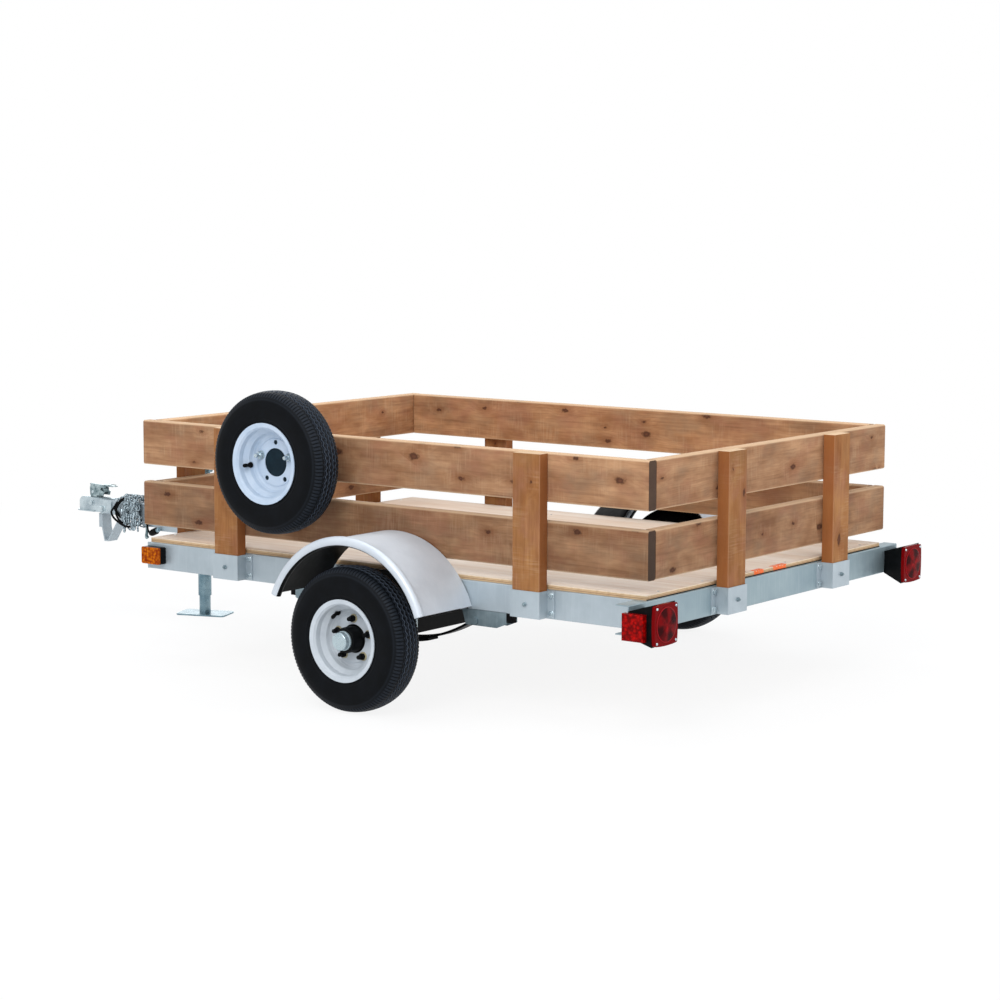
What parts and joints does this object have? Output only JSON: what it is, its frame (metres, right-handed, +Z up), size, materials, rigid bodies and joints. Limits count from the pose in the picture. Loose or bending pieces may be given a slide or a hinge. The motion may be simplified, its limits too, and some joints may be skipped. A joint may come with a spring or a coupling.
{
  "type": "utility trailer",
  "caption": "Open single-axle utility trailer with slatted wooden sides, round fenders, spare wheel, ball coupler and screw jack, parked on its wheels and jack.",
  "frame": {"origin": "on the ground, under the middle of the overall box", "axes": "+X forwards to the coupler, +Y to the trailer's left, +Z up"},
  "size_m": [2.854, 1.798, 0.8709],
  "materials": {
    "galvanised_steel": "hot-dip galvanised, dull spangle",
    "zinc_plated_steel": "bright zinc plate, scuffed",
    "sawn_softwood": "sawn softwood with knots, dull oil stain",
    "plywood": "softwood plywood, pale faces and laminated edges",
    "black_enamelled_steel": "black enamel, satin",
    "white_enamelled_steel": "white enamel, gloss",
    "tyre_rubber": "black tyre rubber, matt",
    "black_rubber": "black rubber, matt",
    "black_moulded_plastic": "black moulded plastic",
    "red_lens_plastic": "clear red moulded plastic, prismed inside",
    "amber_lens_plastic": "clear amber moulded plastic, prismed inside"
  },
  "bodies": {
    "root": {"axle_beam": "black_enamelled_steel", "boards_front": "sawn_softwood", "boards_left": "sawn_softwood", "boards_rear": "sawn_softwood", "boards_right": "sawn_softwood", "coupler": "zinc_plated_steel", "coupler_latch": "zinc_plated_steel", "cross_members": "galvanised_steel", "deck": "plywood", "fender_left": "galvanised_steel", "fender_right": "galvanised_steel", "front_marker_bases": "black_moulded_plastic", "front_marker_lenses": "amber_lens_plastic", "front_rail": "galvanised_steel", "jack_tube": "galvanised_steel", "leaf_springs": "black_enamelled_steel", "rear_rail": "galvanised_steel", "safety_chain": "zinc_plated_steel", "side_marker_lenses": "red_lens_plastic", "side_rail_left": "galvanised_steel", "side_rail_right": "galvanised_steel", "spare_carrier": "galvanised_steel", "spare_rim": "white_enamelled_steel", "spare_tyre": "tyre_rubber", "spring_clamps": "zinc_plated_steel", "spring_hangers": "galvanised_steel", "stake_pockets": "galvanised_steel", "stakes_front": "sawn_softwood", "stakes_left": "sawn_softwood", "stakes_rear": "sawn_softwood", "stakes_right": "sawn_softwood", "stop_blocks": "black_rubber", "tail_lamp_housings": "black_moulded_plastic", "tail_lamp_lenses": "red_lens_plastic", "tongue_channel": "galvanised_steel", "tongue_stand": "galvanised_steel", "tongue_tube": "galvanised_steel", "wiring_cable": "black_rubber"},
    "wheel_left": {"tyre_left": "tyre_rubber", "rim_left": "white_enamelled_steel", "hub_left": "black_enamelled_steel"},
    "wheel_right": {"tyre_right": "tyre_rubber", "rim_right": "white_enamelled_steel", "hub_right": "black_enamelled_steel"},
    "jack_foot": {"jack_leg": "galvanised_steel"}
  },
  "joints": [
    {"name": "wheel_left_spin", "type": "hinge", "parent": "root", "child": "wheel_left", "pos_m": [-0.497, 0.8325, 0.204], "axis": [0, 1, 0], "continuous": true},
    {"name": "wheel_right_spin", "type": "hinge", "parent": "root", "child": "wheel_right", "pos_m": [-0.497, -0.8325, 0.204], "axis": [0, 1, 0], "continuous": true},
    {"name": "jack_extend", "type": "slide", "parent": "root", "child": "jack_foot", "axis": [0, 0, -1], "range_m": [-0.055, 0.19]}
  ]
}
